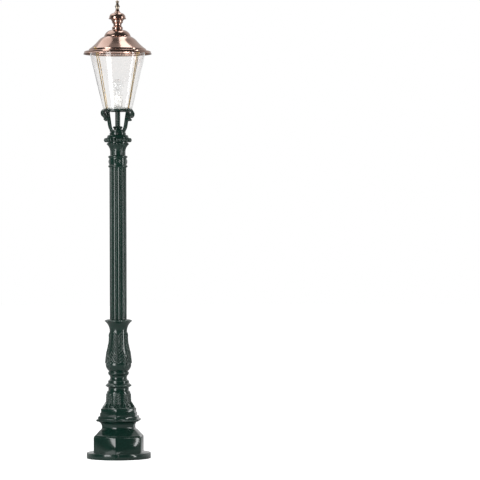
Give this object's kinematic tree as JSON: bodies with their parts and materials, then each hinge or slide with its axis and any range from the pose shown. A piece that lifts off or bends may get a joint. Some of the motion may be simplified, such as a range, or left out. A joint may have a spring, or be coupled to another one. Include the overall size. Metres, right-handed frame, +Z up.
{
  "type": "garden lamp",
  "caption": "Tall green cast garden lamp: hexagonal foot on a round plate, leaf-carved baluster, fluted column, scroll bracket, clear glass cone with brass rods and a copper hood.",
  "frame": {"origin": "centre of the foot plate's underside, on the ground", "axes": "+Z up the post, -Y towards the front corner of the hexagonal foot, +X to its right"},
  "size_m": [0.342, 0.342, 2.2857],
  "materials": {
    "green_paint": "gloss paint",
    "copper": "satin spun copper",
    "brass": "polished",
    "finial_bronze": "polished",
    "steel": "zinc plated",
    "porcelain": "glazed",
    "bulb_cap": "bright",
    "bulb_glass": "clear",
    "filament": "drawn wire",
    "seat_rubber": "translucent",
    "clear_glass": "clear"
  },
  "bodies": {
    "root": {"baluster": "green_paint", "baluster_bolts": "steel", "bracket_set_screws": "steel", "bulb_cap": "bulb_cap", "bulb_filament": "filament", "bulb_glass": "bulb_glass", "bulb_stem": "bulb_glass", "capital": "green_paint", "chimney": "copper", "chimney_cap": "copper", "column": "green_paint", "finial": "finial_bronze", "foot": "green_paint", "glass_seat": "seat_rubber", "glass_shade": "clear_glass", "guard_rod_1": "brass", "guard_rod_2": "brass", "guard_rod_3": "brass", "guard_rod_4": "brass", "hood": "copper", "hood_bridge": "brass", "hood_dome": "copper", "hood_stud": "steel", "hood_stud_nut": "steel", "lamp_tube": "green_paint", "lampholder_body": "porcelain", "lampholder_contact": "brass", "lampholder_ring": "porcelain", "lampholder_sleeve": "brass", "lantern_bracket": "green_paint", "lantern_floor": "green_paint", "nipple_nuts": "brass", "rod_cap_nuts": "brass", "tie_nipple": "brass"}
  },
  "joints": []
}
